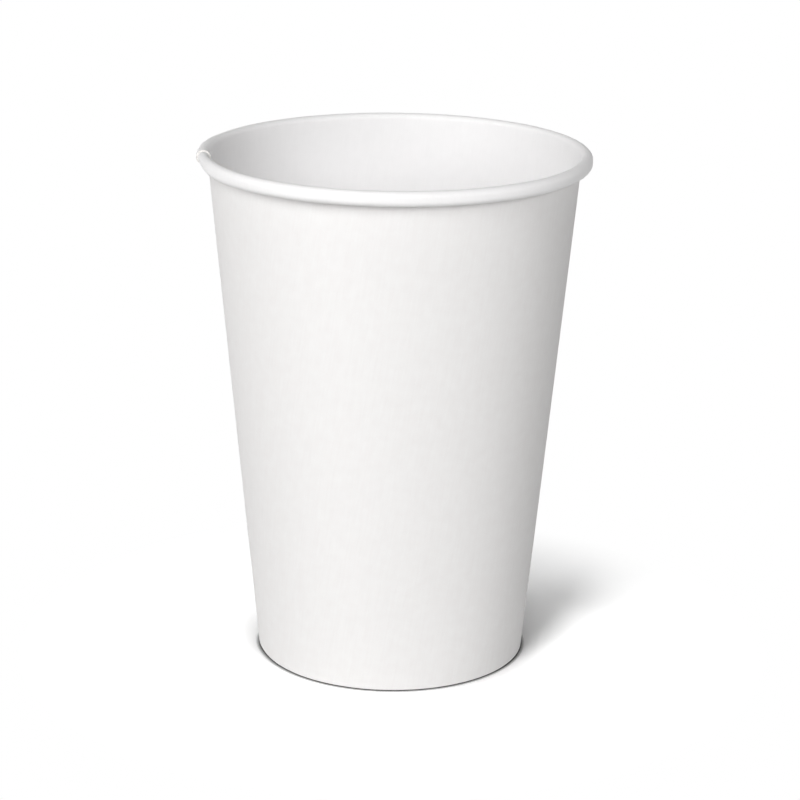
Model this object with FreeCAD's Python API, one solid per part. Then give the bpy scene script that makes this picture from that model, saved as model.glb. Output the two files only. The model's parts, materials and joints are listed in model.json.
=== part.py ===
import FreeCAD, Part
import math
import os

# Single-wall paper coffee cup, open, in millimetres. +Z is up, and the origin is the middle of the
# foot on the surface that the cup stands on. -Y is the front, and the side seam is on the left.
# The cup is two pieces of lined paperboard. The wall is one blank: wrapped into a cone with a
# sealed overlap, rolled outwards at the top and folded inwards and up at the foot. The bottom is
# one disc with a drawn skirt, which the fold of the wall grips.

# Outside of the cup
cup_height = 120.2
rim_diameter = 90.0
foot_diameter = 62.5

# Paperboard, and the melted lining between layers that are sealed together
wall_board = 0.35
bottom_board = 0.27
lining_film = 0.04

# Rolled rim: the free radius left in its middle where the seam doubles the board, its straight
# outer side, the slit between the wall and the edge that is tucked in behind it, how much wider it
# is over the seam, and how much shorter its side is there
roll_core = 0.5325
roll_side = 0.70
roll_slit = 0.08
roll_swell = 0.42
roll_squat = 0.40

# Foot: the folded hem, the share of the fold that is pressed flat, the raised bottom panel, the
# inside radius of its bent corner, and the room between its skirt and the fold
hem_height = 6.0
fold_flat_share = 0.5
panel_height = 7.6
panel_bend = 0.45
skirt_room = 0.12

# Side seam: where the inner cut edge stands, how far the outer layer runs over it, the stretch
# beside the seam over which the board eases back to its place, and the share of that stretch over
# which the roll gets back to its width in front of the cut edge
seam_angle = 185.0
overlap_width = 7.0
easing_angle = 18.0
easing_steps = 6
front_share = 0.5

origin = FreeCAD.Vector(0, 0, 0)
up = FreeCAD.Vector(0, 0, 1)

# Where the seam passes, three layers of board lie on each side of the core, less the swell
roll_radius = roll_core + 3 * wall_board - roll_swell / 2 + roll_slit / 2
roll_centre = FreeCAD.Vector(rim_diameter / 2 - roll_radius, 0, cup_height - roll_radius)


def wall_taper():
    """Lean of the wall in degrees. Its outer face runs to the foot's edge and its lined face
    touches the roll, so the foot's edge sees the roll's centre at a known distance off the wall."""
    reach = roll_centre - FreeCAD.Vector(foot_diameter / 2, 0, 0)
    slope = math.degrees(math.atan2(reach.z, reach.x))
    return math.degrees(math.acos((roll_radius - wall_board) / reach.Length)) - slope


def pointing(angle):
    """Unit vector in the radial plane, at an angle in degrees above the outward direction."""
    return FreeCAD.Vector(math.cos(math.radians(angle)), 0, math.sin(math.radians(angle)))


taper = wall_taper()
lean_cos = math.cos(math.radians(taper))
lean_sin = math.sin(math.radians(taper))
outward = pointing(-taper)
upward = pointing(90 - taper)
lined_reach = roll_centre.dot(outward) - roll_radius


def beside_wall(inside, height):
    """Point at a height, a distance inside the wall's lined face."""
    return FreeCAD.Vector((lined_reach - inside + lean_sin * height) / lean_cos, 0, height)


def line(start, end):
    return Part.LineSegment(start, end).toShape()


def arc(centre, radius, first, last):
    """Arc in the radial plane from one direction to another, in degrees."""
    ends = [centre + pointing(angle) * radius for angle in (first, (first + last) / 2, last)]
    return Part.Arc(*ends).toShape()


def run(start, bends, end):
    """One face of the board: bends joined by straight stretches, from a start to an end point."""
    edges = []
    for bend in bends:
        edges += [line(start, bend.Vertexes[0].Point), bend]
        start = bend.Vertexes[-1].Point
    return edges + [line(start, end)]


def section(near, far):
    """Closed section of the board between its two faces, with a cut edge at each end."""
    tail = line(near[-1].Vertexes[-1].Point, far[-1].Vertexes[-1].Point)
    head = line(far[0].Vertexes[0].Point, near[0].Vertexes[0].Point)
    return Part.Wire(near + [tail] + far[::-1] + [head])


def wall_face(depth, second, widening):
    """The face of the wall's board that lies a depth below its lined face, from the edge that is
    tucked into the roll to the edge of the hem. Second is the share of the room that is left for
    a second layer: it holds the tucked edge away from the wall, shortens the roll's side and
    raises the fold. Widening is the share of the roll's swell."""
    lift = wall_board * second
    side = roll_side - roll_squat * second
    radius = roll_radius + roll_swell * widening / 2
    centre = roll_centre + outward * (radius - roll_radius)
    tuck = wall_board + roll_slit + lift
    lower_radius = radius + (side * lean_sin - tuck) / (1 + lean_cos)
    lower_centre = centre + FreeCAD.Vector(radius - lower_radius, 0, -side)
    tucked_low = lower_centre - outward * (lower_radius - depth)
    tucked_top = tucked_low + upward * (centre - lower_centre).dot(upward)

    fold_width = bottom_board + 2 * lining_film
    bend = fold_width * (1 - fold_flat_share) / 2
    outer_centre = beside_wall(bend, wall_board + lift + bend)
    inner_centre = outer_centre - FreeCAD.Vector(fold_width * fold_flat_share / lean_cos, 0, 0)
    hem_low = inner_centre - outward * (bend + depth)
    hem_top = hem_low + upward * ((hem_height - inner_centre.z) / lean_cos)

    return run(tucked_top, [
        arc(lower_centre, lower_radius - depth, -180 - taper, 0),
        arc(centre, radius - depth, 0, 180 - taper),
        arc(outer_centre, bend + depth, -taper, -90),
        arc(inner_centre, bend + depth, -90, -180 - taper),
    ], hem_top)


def wall_section(depth, second, widening):
    """Section of one layer of the wall, whose lined face lies a depth outside that of the cup."""
    near = wall_face(depth, second, widening)
    return section(near, wall_face(depth + wall_board, second, widening))


def turned(shape, angle):
    return shape.rotated(origin, up, angle)


def round_sector(depth, second, first, last):
    """Layer of the wall with one section from an angle to another, anticlockwise from above."""
    face = Part.Face(turned(wall_section(depth, second, second), first))
    return face.revolve(origin, up, last - first)


def left_over(way, stretch):
    """What a smooth step leaves of one after a part of a stretch: three squares less two cubes of
    the way left to go."""
    share = max(1 - way / stretch, 0)
    return share * share * (3 - 2 * share)


def easing_sector(depth, first, last, swell_stretch):
    """Layer of the wall that eases from the seam's section at the first angle to the plain one at
    the last. Its roll gets back to the plain width within a stretch of its own."""
    wires = []
    for step in range(easing_steps + 1):
        way = easing_angle * step / easing_steps
        ease = left_over(way, easing_angle)
        angle = first + (last - first) * step / easing_steps
        wires.append(turned(wall_section(depth * ease, ease, left_over(way, swell_stretch)), angle))
    return Part.makeLoft(wires, True, False)


def overlap_strip(angle):
    """The outer layer where it lies sealed on the inner one: the seam's section carried round
    behind the inner cut edge, cut off parallel to it at the width of the overlap."""
    layer = round_sector(wall_board, 1, -angle, 0)
    blade = Part.makeBox(rim_diameter, overlap_width, 2 * cup_height)
    blade.translate(FreeCAD.Vector(0, -overlap_width, -cup_height / 2))
    return layer.common(blade)


def sidewall():
    """The wall's blank, with the inner cut edge of its seam in the radial plane at zero degrees."""
    hem_inside = beside_wall(bottom_board + 2 * lining_film + 2 * wall_board, 0).x
    seated = math.degrees(math.asin(overlap_width / hem_inside)) + 1
    plain = round_sector(0, 0, easing_angle, 360 - seated - easing_angle)
    behind = easing_sector(0, 360 - seated, 360 - seated - easing_angle, easing_angle)
    inner = round_sector(0, 1, -seated, 0)
    front = easing_sector(wall_board, 0, easing_angle, front_share * easing_angle)
    whole = plain.multiFuse([behind, inner, front, overlap_strip(seated)])
    return whole.removeSplitter()


def bottom_face(depth):
    """The face of the bottom's board that lies a depth below its lined face, from the axis."""
    bend = panel_bend + bottom_board
    top = panel_height + bottom_board
    centre = beside_wall(lining_film + bend, top - bend)
    skirt_top = centre + outward * (bend - depth)
    skirt_end = 2 * wall_board + skirt_room
    skirt_low = skirt_top - upward * ((skirt_top.z - skirt_end) / lean_cos)
    return run(FreeCAD.Vector(0, 0, top - depth), [arc(centre, bend - depth, 90, -taper)], skirt_low)


def bottom_disc():
    """The bottom's disc, drawn into a shallow tray that stands on its skirt."""
    face = Part.Face(section(bottom_face(0), bottom_face(bottom_board)))
    return face.revolve(origin, up, 360)


pieces = {
    "sidewall": turned(sidewall(), seam_angle),
    "bottom_disc": bottom_disc(),
}

os.makedirs("parts", exist_ok=True)
for name, shape in pieces.items():
    shape.exportStep("parts/" + name + ".step")
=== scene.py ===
import json
import math

import bpy
import numpy as np
from mathutils import Matrix, Vector


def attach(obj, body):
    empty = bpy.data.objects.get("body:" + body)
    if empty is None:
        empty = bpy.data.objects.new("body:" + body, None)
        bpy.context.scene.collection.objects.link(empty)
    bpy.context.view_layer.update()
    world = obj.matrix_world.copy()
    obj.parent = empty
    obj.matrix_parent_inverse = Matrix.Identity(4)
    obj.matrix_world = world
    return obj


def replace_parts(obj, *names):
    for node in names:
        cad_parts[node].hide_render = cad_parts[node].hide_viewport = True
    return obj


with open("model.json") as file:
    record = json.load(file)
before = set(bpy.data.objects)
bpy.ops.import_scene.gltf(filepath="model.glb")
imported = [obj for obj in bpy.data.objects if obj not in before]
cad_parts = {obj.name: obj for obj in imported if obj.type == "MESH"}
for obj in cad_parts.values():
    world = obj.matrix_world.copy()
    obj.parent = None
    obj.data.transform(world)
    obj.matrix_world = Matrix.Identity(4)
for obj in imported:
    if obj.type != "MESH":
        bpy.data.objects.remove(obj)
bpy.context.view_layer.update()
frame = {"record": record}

# Sizes in millimetres, as in the construction. The cup's height and rim are those of the seat that
# the frame states for a lid.
MM = 0.001
lid_seat = next(mount for mount in frame["record"]["mounts"] if mount["name"] == "lid_seat")
cup_height = lid_seat["pos_m"][2] / MM
rim_radius = lid_seat["dims"]["r_mm"]
foot_radius = 31.25
wall_board = 0.35
bottom_board = 0.27
lining_film = 0.04
roll_core = 0.5325
roll_side = 0.70
roll_slit = 0.08
roll_swell = 0.42
roll_squat = 0.40
hem_height = 6.0
fold_flat_share = 0.5
panel_height = 7.6
panel_bend = 0.45
skirt_room = 0.12
seam_angle = math.radians(185)
overlap_width = 7.0
easing_angle = math.radians(18)
swell_angle = math.radians(9)

# Behind the overlap the seam's section goes on by this much before the board eases back
seam_margin = math.radians(1)

# The overlap's outer layer lies this much further out, so that the two faces never share a place
overlap_step = wall_board + 0.01

# Knurling pressed into the hem from inside: its ridges round the foot, and its depth
knurl_ridges = 90
knurl_depth = 0.10

# How far the roll wanders and sags, and how far below the rim this play begins and is whole
roll_play = 0.03
roll_play_ends = (12.0, 3.0)

# How far the wall waves, the height over which it is held by the foot, the rise over which the
# leaning wave turns by one radian, and the share of the upright wave
wall_wave = 0.03
foot_hold = 25.0
wave_rise = 38.0
upright_share = 0.6

# Creases under the roll: their depth, how far below the rim they start and are deepest, and the
# way over which they fade
crease_depth = 0.012
crease_start = 3.2
crease_level = 4.0
crease_fade = 2.5

# Lobes round the cup, and the seed of their places, for each kind of unevenness
roll_wander = [2, 3, 5, 7, 11, 13, 17], 11
roll_sag = [2, 3, 4, 7, 9, 14, 19, 23], 12
leaning_wave = [2, 3, 4, 6], 13
upright_wave = [3, 5, 8], 14
fine_creases = range(70, 150), 15

# How white the camera sees the open floor, above one so that it runs out to pure white, and how
# far from the foot painted shade darkens the floor's seen colour: widely, and in the narrow gap
# where they meet
floor_white = 2.5
shade_reach = 30.0
gap_reach = 1.6

# Shares of open sky between which the painted shade takes the seen floor from black to its white,
# in each of the two
shade_sky = (0.3, 0.84)
gap_sky = (0.4, 0.85)

# Between these distances from the cup's axis the seen floor runs out to the backdrop's white
shade_ends = (50.0, 90.0)

# Half the side of the studio's floor, in metres
floor_half = 4.0

# Fineness of the meshes: stations round the cup, and points along each stretch of the board
wall_stations = 721
overlap_stations = 18
bottom_stations = 240
turn_points = 13
bend_points = 6
wall_points = 20
hem_points = 7
panel_points = 12
skirt_points = 4

# Points down the wall crowd towards the roll by this power
wall_crowding = 1.6

# Edges over which the surface turns by more than this stay sharp
sharp_edge = math.radians(40)

# A station far from the seam, where the wall's section is plain
plain_station = 300

# Places of the three finishes in the list that each piece is given
lined_face, outer_face, cut_face = range(3)

roll_radius = roll_core + 3 * wall_board - roll_swell / 2 + roll_slit / 2
roll_reach = rim_radius - roll_radius
roll_level = cup_height - roll_radius


def wall_lean():
    """Angle of the wall from upright: its outer face runs through the foot's edge, and its lined
    face touches the roll, so the distance from the foot's edge to the roll's centre gives it."""
    across, rise = roll_reach - foot_radius, roll_level
    touch = (roll_radius - wall_board) / math.hypot(across, rise)
    return math.acos(touch) - math.atan2(rise, across)


lean = wall_lean()
lean_cos, lean_sin = math.cos(lean), math.sin(lean)
lined_reach = roll_reach * lean_cos - roll_level * lean_sin - roll_radius


def beside_wall(inside, height):
    """Reach of a point at a height, a distance inside the wall's lined face."""
    return (lined_reach - inside + lean_sin * height) / lean_cos


def straight(start, end, shares):
    """Points of a straight stretch: its start, plus a share of the way to its end."""
    way = np.asarray(shares)[:, None]
    return [a + (b - a) * way for a, b in zip(start, end)]


def bend(centre, radius, first, last, count):
    """Points of a round bend: its centre, plus its radius times the cosine and sine of an angle
    that runs evenly from the first direction to the last."""
    angle = np.linspace(first, last, count)[:, None]
    return [centre[0] + radius * np.cos(angle), centre[1] + radius * np.sin(angle)]


def stacked(stretches, stations):
    """Reach and height of all points of a face: its stretches one after another, with a row for
    each point and a column for each station."""
    return [np.concatenate([np.broadcast_to(stretch[axis], (len(stretch[axis]), stations))
                            for stretch in stretches]) for axis in (0, 1)]


def wall_face(depth, lift, swell):
    """Reach and height of the face of the wall's board that lies a depth below its lined face, at
    every station. It starts at the edge tucked into the roll, goes round the roll, down the wall
    and round the fold, and ends at the hem's edge. Each bend keeps its centre, and its radius
    shrinks or grows with the depth. Lift is the room that a second layer needs: it holds the
    tucked edge away from the wall, shortens the roll's side and raises the fold. Swell is how
    much wider the roll is."""
    radius = roll_radius + swell / 2
    shift = radius - roll_radius
    side = roll_side - roll_squat * lift / wall_board
    centre = (roll_reach + lean_cos * shift, roll_level - lean_sin * shift)
    tuck = wall_board + roll_slit + lift
    lower_radius = radius + (side * lean_sin - tuck) / (1 + lean_cos)
    lower = (centre[0] + radius - lower_radius, centre[1] - side)
    lower_bend, upper_bend = lower_radius - depth, radius - depth
    tucked_low = (lower[0] - lean_cos * lower_bend, lower[1] + lean_sin * lower_bend)
    rise = (centre[0] - lower[0]) * lean_sin + side * lean_cos
    tucked_top = (tucked_low[0] + lean_sin * rise, tucked_low[1] + lean_cos * rise)
    wall_top = (centre[0] - lean_cos * upper_bend, centre[1] + lean_sin * upper_bend)

    fold = bottom_board + 2 * lining_film
    inside = fold * (1 - fold_flat_share) / 2
    outer_level = wall_board + lift + inside
    outer = (beside_wall(inside, outer_level), outer_level)
    inner = (outer[0] - fold * fold_flat_share / lean_cos, outer_level)
    fold_radius = inside + depth
    wall_foot = (outer[0] + lean_cos * fold_radius, outer[1] - lean_sin * fold_radius)
    hem_low = (inner[0] - lean_cos * fold_radius, inner[1] + lean_sin * fold_radius)
    rise = (hem_height - inner[1]) / lean_cos
    hem_top = (hem_low[0] + lean_sin * rise, hem_low[1] + lean_cos * rise)

    down = (np.arange(1, wall_points) / wall_points) ** wall_crowding
    return stacked([
        straight(tucked_top, tucked_low, [0.0]),
        bend(lower, lower_bend, -math.pi - lean, 0, turn_points),
        bend(centre, upper_bend, 0, math.pi - lean, turn_points),
        straight(wall_top, wall_foot, down),
        bend(outer, fold_radius, -lean, -math.pi / 2, bend_points),
        bend(inner, fold_radius, -math.pi / 2, -math.pi - lean, bend_points),
        straight(hem_low, hem_top, np.arange(1, hem_points + 1) / hem_points),
    ], depth.shape[-1])


def smooth_step(share):
    """Three squares less two cubes of a share that is held between nought and one."""
    share = np.clip(share, 0, 1)
    return share * share * (3 - 2 * share)


def unevenness(angle, lobes, seed):
    """A wave round the cup between about -1 and 1: a sum of cosines, each with a whole number of
    lobes, a seeded place and a weight that falls with the root of the number. It is divided by
    one and a half times the root of the squared weights, which it seldom passes."""
    chance = np.random.default_rng(seed)
    lobes = np.asarray(lobes)
    places = chance.uniform(0, 2 * math.pi, lobes.size)
    weights = 1 / np.sqrt(lobes)
    waves = np.cos(angle[..., None] * lobes + places) * weights
    return waves.sum(-1) / (1.5 * np.sqrt((weights ** 2).sum()))


def layer_places():
    """Angle from the inner cut edge, share of the overlap, depth, lift and swell of the one long
    sheet at every station. It starts at the outer cut edge, lies on the inner layer over the
    overlap, eases down beside the inner cut edge and goes once round until it ends there. The
    first stations run back from that edge by shares of the overlap, which become angles once the
    reach is known. The roll gets back to its plain width sooner than the board eases down."""
    angle = np.linspace(0, 2 * math.pi, wall_stations)
    over = 1 - np.arange(overlap_stations) / overlap_stations
    hem_inside = beside_wall(bottom_board + 2 * lining_film + 2 * wall_board, 0)
    seated = math.asin(overlap_width / hem_inside) + seam_margin
    front = smooth_step(1 - angle / easing_angle)
    behind = smooth_step((angle - (2 * math.pi - seated - easing_angle)) / easing_angle)
    wide = np.maximum(smooth_step(1 - angle / swell_angle), behind)
    ones = np.ones(overlap_stations)
    depth = overlap_step * np.concatenate([ones, front])
    lift = overlap_step * np.concatenate([ones, np.maximum(front, behind)])
    swell = roll_swell * np.concatenate([ones, wide])
    angle, over = np.concatenate([0 * ones, angle]), np.concatenate([over, 0 * angle])
    return angle, over, depth, lift, swell


def grid_faces(rows, columns):
    """Quads of a grid of points numbered row by row, whose last column joins the first, and the
    column that each quad starts from."""
    row, column = np.meshgrid(np.arange(rows - 1), np.arange(columns), indexing="ij")
    beside = (column + 1) % columns
    here, ahead = row * columns, (row + 1) * columns
    corners = [here + column, ahead + column, ahead + beside, here + beside]
    return np.stack(corners, -1).reshape(-1, 4), column.ravel()


def finished_piece(name, points, faces, finishes, finish_of_face, flat):
    """Mesh object at the origin from points in millimetres, with a finish for every face, edges
    that turn by more than forty degrees left sharp, and the place of every point on the flat
    sheet that it was made from, in metres, as its UV map."""
    mesh = bpy.data.meshes.new(name)
    mesh.from_pydata(points * MM, [], faces)
    for finish in finishes:
        mesh.materials.append(finish)
    mesh.polygons.foreach_set("material_index", finish_of_face)
    mesh.polygons.foreach_set("use_smooth", np.ones(len(faces), bool))
    corners = np.empty(len(mesh.loops), np.int32)
    mesh.loops.foreach_get("vertex_index", corners)
    sheet = mesh.uv_layers.new(name="flat_sheet")
    sheet.data.foreach_set("uv", (flat[corners] * MM).ravel())
    mesh.validate()
    mesh.set_sharp_from_angle(angle=sharp_edge)
    piece = bpy.data.objects.new(name, mesh)
    bpy.context.scene.collection.objects.link(piece)
    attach(piece, "root")
    return piece


def pressed_ridges(path_points, around):
    """Share of the knurling's depth at every point of the wall's outer face: half a sine along the
    hem and nought elsewhere, times a cosine round the foot raised to run from nought to one."""
    row = np.arange(path_points)[:, None]
    share = np.clip((row - (path_points - hem_points)) / hem_points, 0, 1)
    return np.sin(math.pi * share) * (0.5 + 0.5 * np.cos(knurl_ridges * around))


def uneven(reach, height, around):
    """The same reach and height with the unevenness of a formed sheet, which depends on the angle
    round the cup. Near the rim the roll keeps inside its plain place by up to twice its play. Lower
    down the wall waves, by a wave that leans over as it rises plus an upright one, both held at
    the foot. The creases fade with the distance from their level."""
    begins, whole = roll_play_ends
    near_roll = smooth_step((height - (cup_height - begins)) / (begins - whole))
    held = smooth_step(height / foot_hold)
    waves = unevenness(around, *leaning_wave) * np.sin(height / wave_rise)
    waves = waves + upright_share * unevenness(around, *upright_wave)
    faded = np.exp(-np.abs(cup_height - crease_level - height) / crease_fade)
    creases = unevenness(around, *fine_creases) * faded * (height < cup_height - crease_start)
    wander = near_roll * roll_play * (unevenness(around, *roll_wander) - 1)
    sag = near_roll * roll_play * (unevenness(around, *roll_sag) - 1)
    reach = reach + wander + held * (1 - near_roll) * wall_wave * waves + crease_depth * creases
    return reach, height + sag


def flat_blank(near, angle, over):
    """Place of every point of the wall on its flat blank: its distance from the cone's apex along
    the board, at its angle round the cup times the sine of the lean. The top of the straight wall
    is as far from the apex as its reach over the sine of the lean."""
    reach, height = near[0][:, plain_station], near[1][:, plain_station]
    along = np.concatenate([[0], np.cumsum(np.hypot(np.diff(reach), np.diff(height)))])
    wall_top = 2 * turn_points
    from_apex = reach[wall_top] / lean_sin + along[wall_top] - along
    from_apex = np.concatenate([from_apex, from_apex[::-1]])[None, :]
    unrolled = (angle - over * overlap_width / foot_radius - math.pi)[:, None] * lean_sin
    return np.stack([from_apex * np.sin(unrolled), from_apex * np.cos(unrolled)], -1)


def sidewall(lined, outside, cut):
    """The wall's blank as one closed sheet. Its lined face and its outer face are the same path at
    two depths, carried round the axis; the cut edges close it at both ends of the path and of the
    way round. Over the overlap a point turns back by the angle whose sine is its share of the
    overlap's width over its reach, so that the outer cut edge runs parallel to the inner one.
    Knurling presses ridges into the hem, and the whole sheet is a little uneven."""
    angle, over, depth, lift, swell = layer_places()
    world = seam_angle + angle[None, :]
    near = wall_face(depth, lift, swell)
    path_points = near[0].shape[0]
    pressed = pressed_ridges(path_points, world)
    plain = wall_face(depth + wall_board, lift, swell)
    ridged = wall_face(depth + wall_board - knurl_depth, lift, swell)
    far = [f + (g - f) * pressed for f, g in zip(plain, ridged)]

    reach = np.concatenate([near[0], far[0][::-1]])
    height = np.concatenate([near[1], far[1][::-1]])
    reach, height = uneven(reach, height, np.broadcast_to(world, reach.shape))
    turn_back = np.arcsin(np.clip(overlap_width * over / reach, -1, 1))
    around = seam_angle + angle - turn_back
    points = np.stack([reach * np.cos(around), reach * np.sin(around), height], -1)
    points = points.transpose(1, 0, 2)

    stations, loop = points.shape[:2]
    faces, column = grid_faces(stations, loop)
    cut_or_outer = np.where(column < path_points, cut_face, outer_face)
    finish = np.where(column < path_points - 1, lined_face, cut_or_outer)
    finish[column == loop - 1] = cut_face
    first = np.arange(path_points - 1)
    end_edge = np.stack([first, first + 1, loop - 2 - first, loop - 1 - first], -1)
    start_edge = end_edge[:, ::-1] + (stations - 1) * loop
    faces = np.concatenate([faces, end_edge, start_edge])
    finish = np.concatenate([finish, np.full(2 * len(first), cut_face)])
    flat = flat_blank(near, angle, over).reshape(-1, 2)
    piece = finished_piece("cup_sidewall", points.reshape(-1, 3), faces,
                           [lined, outside, cut], finish, flat)
    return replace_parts(piece, "sidewall")


def bottom_face(depth):
    """Reach and height of the face of the bottom's board at a depth below its lined face: the flat
    panel from near its middle, the bend at its edge, and the skirt down to its cut edge."""
    radius = panel_bend + bottom_board
    top = panel_height + bottom_board
    centre = (beside_wall(lining_film + radius, top - radius), top - radius)
    skirt_top = (centre[0] + lean_cos * (radius - depth), centre[1] - lean_sin * (radius - depth))
    fall = (skirt_top[1] - 2 * wall_board - skirt_room) / lean_cos
    skirt_low = (skirt_top[0] - lean_sin * fall, skirt_top[1] - lean_cos * fall)
    middle = (np.array([0.0]), np.array([top - depth]))
    panel_edge = (np.array([centre[0]]), np.array([top - depth]))
    return stacked([
        straight(middle, panel_edge, np.arange(1, panel_points) / panel_points),
        bend(centre, np.array([radius - depth]), math.pi / 2, -lean, bend_points),
        straight(skirt_top, skirt_low, np.arange(1, skirt_points + 1) / skirt_points),
    ], 1)


def bottom_disc(lined, outside, cut):
    """The bottom's board as one closed tray: both faces from the middle to the skirt's cut edge,
    turned round the axis, with a point at each end that closes the middle. On the flat disc each
    point keeps its angle, at its way along the board from the middle."""
    near, far = bottom_face(0), bottom_face(bottom_board)
    reach = np.concatenate([near[0], far[0][::-1]])[:, 0]
    height = np.concatenate([near[1], far[1][::-1]])[:, 0]
    angle = np.linspace(0, 2 * math.pi, bottom_stations, endpoint=False)
    level = np.broadcast_to(height[:, None], (len(reach), bottom_stations))
    points = np.stack([reach[:, None] * np.cos(angle), reach[:, None] * np.sin(angle), level], -1)
    middles = [[0, 0, height[0]], [0, 0, height[-1]]]
    points = np.concatenate([points.reshape(-1, 3), middles])

    faces, _ = grid_faces(len(reach), bottom_stations)
    row = np.repeat(np.arange(len(reach) - 1), bottom_stations)
    path = len(near[0])
    finish = np.where(row < path - 1, lined_face, np.where(row < path, cut_face, outer_face))
    middle_top, middle_under = len(points) - 2, len(points) - 1
    here = np.arange(bottom_stations)
    beside = (here + 1) % bottom_stations
    last = (len(reach) - 1) * bottom_stations
    top_fan = np.stack([np.full_like(here, middle_top), here, beside], -1)
    under_fan = np.stack([np.full_like(here, middle_under), last + beside, last + here], -1)
    every = faces[:, ::-1].tolist() + top_fan.tolist() + under_fan.tolist()
    finish = np.concatenate([finish, np.full(bottom_stations, lined_face),
                             np.full(bottom_stations, outer_face)])

    step = np.hypot(np.diff(near[0][:, 0]), np.diff(near[1][:, 0]))
    along = near[0][0, 0] + np.concatenate([[0], np.cumsum(step)])
    along = np.concatenate([along, along[::-1]])[:, None]
    flat = np.stack([along * np.cos(angle), along * np.sin(angle)], -1).reshape(-1, 2)
    flat = np.concatenate([flat, [[0, 0], [0, 0]]])
    piece = finished_piece("cup_bottom", points, every,
                           [lined, outside, cut], finish, flat)
    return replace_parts(piece, "bottom_disc")


def linear(hex_colour):
    """Linear colour of an sRGB hex value: a straight share where it is near black, else a power."""
    parts = [int(hex_colour[i:i + 2], 16) / 255 for i in (0, 2, 4)]
    return [p / 12.92 if p <= 0.04045 else ((p + 0.055) / 1.055) ** 2.4 for p in parts] + [1.0]


def add(tree, kind, inputs=None, **settings):
    """Adds a node, with its settings and with a value or a link for each named input."""
    made = tree.nodes.new(kind)
    for name, value in settings.items():
        setattr(made, name, value)
    for name, value in (inputs or {}).items():
        if isinstance(value, bpy.types.NodeSocket):
            tree.links.new(value, made.inputs[name])
        else:
            made.inputs[name].default_value = value
    return made


def board(name, tint, shade, roughness, sheen, tooth):
    """Paperboard. Long soft streaks follow the blank's grain, because the fibres lie that way; a
    fine mottle is the cloudiness of the sheet; with the fibres they are three noises in one sum,
    which shifts the colour between tint and shade by a breath and raises the surface by a tooth in
    metres. The sheen is low, because most of what reaches open fibres is scattered in the sheet
    and little is mirrored."""
    finish = bpy.data.materials.new(name)
    finish.use_nodes = True
    tree = finish.node_tree
    tree.nodes.clear()
    sheet = add(tree, "ShaderNodeUVMap", uv_map="flat_sheet").outputs["UV"]
    grain_size, grain_length, cloud_size = 0.5 * MM, 9 * MM, 2.6 * MM
    # Real fibres are about 0.03 mm wide and too fine to show, so they are as coarse as a pixel here
    fibre_size = 0.22 * MM
    # The sum of the three noises lies between these nearly everywhere
    mottle_low, mottle_high = 1.1, 1.9
    stretched = add(tree, "ShaderNodeMapping", {
        "Vector": sheet, "Scale": (1 / grain_size, 1 / grain_length, 1)})
    grain = add(tree, "ShaderNodeTexNoise", {
        "Vector": stretched.outputs["Vector"], "Scale": 1.0, "Detail": 2.0})
    cloud = add(tree, "ShaderNodeTexNoise", {
        "Vector": sheet, "Scale": 1 / cloud_size, "Detail": 3.0})
    fibre = add(tree, "ShaderNodeTexNoise", {
        "Vector": sheet, "Scale": 1 / fibre_size, "Detail": 3.0})
    streaks = add(tree, "ShaderNodeMath", {
        0: grain.outputs["Fac"], 1: cloud.outputs["Fac"]}, operation="ADD")
    mottle = add(tree, "ShaderNodeMath", {
        0: streaks.outputs[0], 1: fibre.outputs["Fac"]}, operation="ADD")
    spread = add(tree, "ShaderNodeMapRange", {
        "Value": mottle.outputs[0], "From Min": mottle_low, "From Max": mottle_high})
    colour = add(tree, "ShaderNodeMix", {
        "Factor": spread.outputs[0], "A": linear(shade), "B": linear(tint)}, data_type="RGBA")
    raised = add(tree, "ShaderNodeBump", {
        "Height": mottle.outputs[0], "Strength": 1.0, "Distance": tooth})
    surface = add(tree, "ShaderNodeBsdfPrincipled", {
        "Base Color": colour.outputs[2], "Roughness": roughness, "IOR": 1.5,
        "Specular IOR Level": sheen, "Normal": raised.outputs["Normal"]})
    add(tree, "ShaderNodeOutputMaterial", {"Surface": surface.outputs[0]})
    return finish


def lined_board():
    """Bleached board with its thin extruded plastic lining: smooth, faintly glossy, and a touch
    cleaner white than the bare board. It is the cup's inside and the outside of the roll."""
    return board("lined_board", "F9F8F8", "F6F5F5", 0.5, 0.25, 0.006 * MM)


def bare_board():
    """Bleached uncoated board, calendered: matt, slightly warm, with a faint vertical grain."""
    return board("bare_board", "F5F4F3", "F1EFEE", 0.8, 0.12, 0.009 * MM)


def cut_board():
    """Raw cut edge of the board: the fibres stand open, so it is the roughest part, and a little
    darker and warmer than the faces."""
    return board("cut_board", "F3F1EE", "ECE9E4", 0.95, 0.1, 0.03 * MM)


def seen_ray(tree):
    """One where the camera or a glossy surface looks, nought where light is gathered."""
    path = add(tree, "ShaderNodeLightPath")
    seen = add(tree, "ShaderNodeMath", {
        0: path.outputs["Is Camera Ray"], 1: path.outputs["Is Glossy Ray"]}, operation="MAXIMUM")
    return seen.outputs[0]


def painted_sky_shade(tree, reach, ends, white):
    """Painted shade for the seen floor: how much sky a place on the floor sees within a reach in
    millimetres, turned into its colour: nought at the first of two shares, a given white at the
    second, and even in between."""
    seen = add(tree, "ShaderNodeAmbientOcclusion", {"Distance": reach * MM}, samples=16)
    spread = add(tree, "ShaderNodeMapRange", {
        "Value": seen.outputs["AO"], "From Min": ends[0], "From Max": ends[1], "To Max": white})
    return spread.outputs[0]


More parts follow.
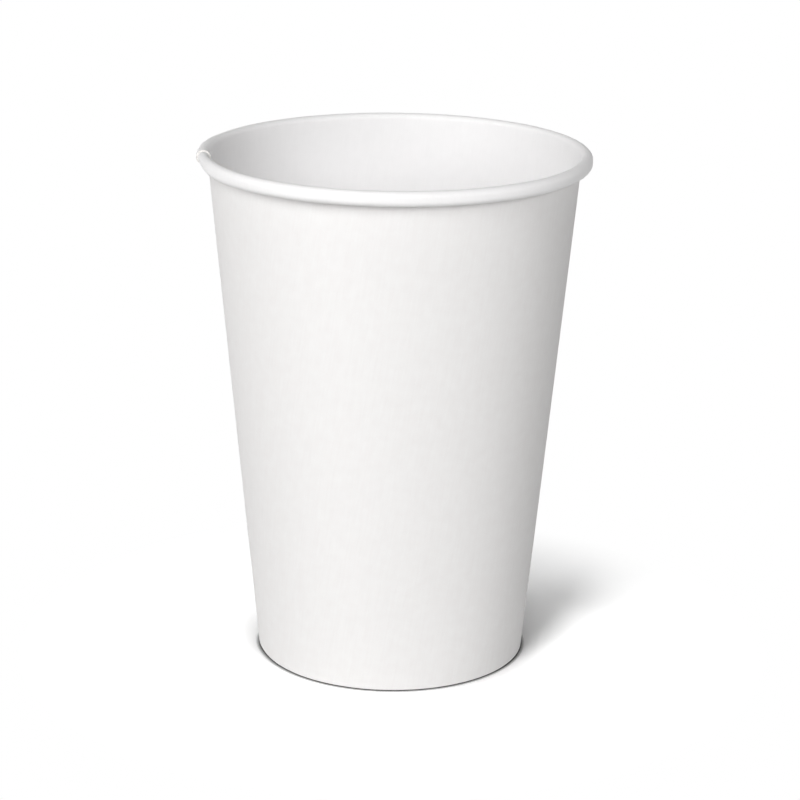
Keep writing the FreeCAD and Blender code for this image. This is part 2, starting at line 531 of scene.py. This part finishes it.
def floor_finish():
    """Matt pale studio sheet. The cup is lit by its plain pale grey alone. The camera sees a whiter
    one instead, which also takes the cup's real shadow. Its colour is painted shade: the product of
    two shares of open sky, one taken widely round the foot and one in the narrow gap under it. With
    the distance from the cup's axis it runs out to the backdrop's white. So the floor keeps the
    cup's shadow, darkened near the foot by painted shade, and nothing else is grey."""
    finish = bpy.data.materials.new("studio_sheet")
    finish.use_nodes = True
    tree = finish.node_tree
    tree.nodes.clear()
    plain = add(tree, "ShaderNodeBsdfDiffuse", {"Color": linear("DCDCDC")})
    # Painted shade: the seen floor is darkened near the foot by its share of open sky, on top of
    # the cup's real shadow
    wide_shade = painted_sky_shade(tree, shade_reach, shade_sky, floor_white)
    gap_shade = painted_sky_shade(tree, gap_reach, gap_sky, 1.0)
    painted_shade = add(tree, "ShaderNodeMath", {0: wide_shade, 1: gap_shade}, operation="MULTIPLY")
    seen_white = add(tree, "ShaderNodeBsdfDiffuse", {"Color": painted_shade.outputs[0]})
    place = add(tree, "ShaderNodeTexCoord").outputs["Object"]
    away = add(tree, "ShaderNodeVectorMath", {0: place}, operation="LENGTH").outputs["Value"]
    beyond = add(tree, "ShaderNodeMapRange", {
        "Value": away, "From Min": shade_ends[0] * MM, "From Max": shade_ends[1] * MM},
        interpolation_type="SMOOTHSTEP")
    backdrop = add(tree, "ShaderNodeEmission", {"Color": (1, 1, 1, 1), "Strength": 1.0})
    seen_floor = add(tree, "ShaderNodeMixShader", {
        0: beyond.outputs[0], 1: seen_white.outputs[0], 2: backdrop.outputs[0]})
    mixed = add(tree, "ShaderNodeMixShader", {
        0: seen_ray(tree), 1: plain.outputs[0], 2: seen_floor.outputs[0]})
    add(tree, "ShaderNodeOutputMaterial", {"Surface": mixed.outputs[0]})
    return finish


def studio():
    """Floor, oval softboxes and backdrop. Each softbox stands a way round from the front, to the
    left where it is below nought, and a height above the floor, both in degrees. Its level is what
    a white card at the cup that faces it gives back; then come its distance in metres, and how
    wide and high it looks from the cup, in degrees. Its power is that level times the squares of pi
    and of the distance. The world is white to the camera and dark else."""
    mesh = bpy.data.meshes.new("studio_floor")
    corners = [(-floor_half, -floor_half, 0), (floor_half, -floor_half, 0),
               (floor_half, floor_half, 0), (-floor_half, floor_half, 0)]
    mesh.from_pydata(corners, [], [(0, 1, 2, 3)])
    mesh.materials.append(floor_finish())
    ground = bpy.data.objects.new("studio_floor", mesh)
    bpy.context.scene.collection.objects.link(ground)

    softboxes = {
        "key_front_left": (-26, 34, 0.67, 1.6, 22, 44),
        "fill_front_right": (38, 24, 0.39, 3.0, 30, 30),
        "fill_left": (-84, 20, 0.28, 3.0, 30, 30),
    }
    for name, (way, height, level, distance, wide, high) in softboxes.items():
        way, height = math.radians(way), math.radians(height)
        towards = Vector((math.sin(way) * math.cos(height), -math.cos(way) * math.cos(height),
                          math.sin(height)))
        oval = bpy.data.lights.new(name, "AREA")
        oval.shape = "ELLIPSE"
        oval.size = 2 * distance * math.tan(math.radians(wide / 2))
        oval.size_y = 2 * distance * math.tan(math.radians(high / 2))
        oval.energy = level * (math.pi * distance) ** 2
        softbox = bpy.data.objects.new(name, oval)
        softbox.location = towards * distance + Vector((0, 0, cup_height / 2)) * MM
        softbox.rotation_euler = towards.to_track_quat("Z", "Y").to_euler()
        bpy.context.scene.collection.objects.link(softbox)

    world = bpy.data.worlds.new("soft_room")
    bpy.context.scene.world = world
    world.use_nodes = True
    tree = world.node_tree
    tree.nodes.clear()
    room = add(tree, "ShaderNodeBackground", {"Color": (1, 1, 1, 1), "Strength": 0.0})
    white = add(tree, "ShaderNodeBackground", {"Color": (1, 1, 1, 1), "Strength": 1.0})
    mixed = add(tree, "ShaderNodeMixShader", {
        0: seen_ray(tree), 1: room.outputs[0], 2: white.outputs[0]})
    add(tree, "ShaderNodeOutputWorld", {"Surface": mixed.outputs[0]})


def photo_camera():
    """The camera at the photo's viewing angle, in front of the cup and looking down on the rim. It
    stands a distance from its aim along a direction that rises from the front, and is turned about
    that direction by the roll."""
    aim = Vector((1.586, 0, 60.381)) * MM
    distance, rise, roll = 630.23 * MM, math.radians(17.084), math.radians(0.614)
    back = Vector((0, -math.cos(rise), math.sin(rise)))
    side, top = Vector((1, 0, 0)), Vector((0, math.sin(rise), math.cos(rise)))
    right = side * math.cos(roll) + top * math.sin(roll)
    upright = top * math.cos(roll) - side * math.sin(roll)
    lens = bpy.data.cameras.new("photo_camera")
    lens.lens, lens.sensor_width = 120.885, 36.0
    lens.clip_start, lens.clip_end = 0.01, 50.0
    camera = bpy.data.objects.new("photo_camera", lens)
    place = aim + back * distance
    rows = [[right[i], upright[i], back[i], place[i]] for i in range(3)]
    camera.matrix_world = Matrix(rows + [[0, 0, 0, 1]])
    bpy.context.scene.collection.objects.link(camera)
    bpy.context.scene.camera = camera


photo_camera()
studio()
finishes = [lined_board(), bare_board(), cut_board()]
sidewall(*finishes)
bottom_disc(*finishes)
bpy.context.scene.view_settings.view_transform = "Standard"
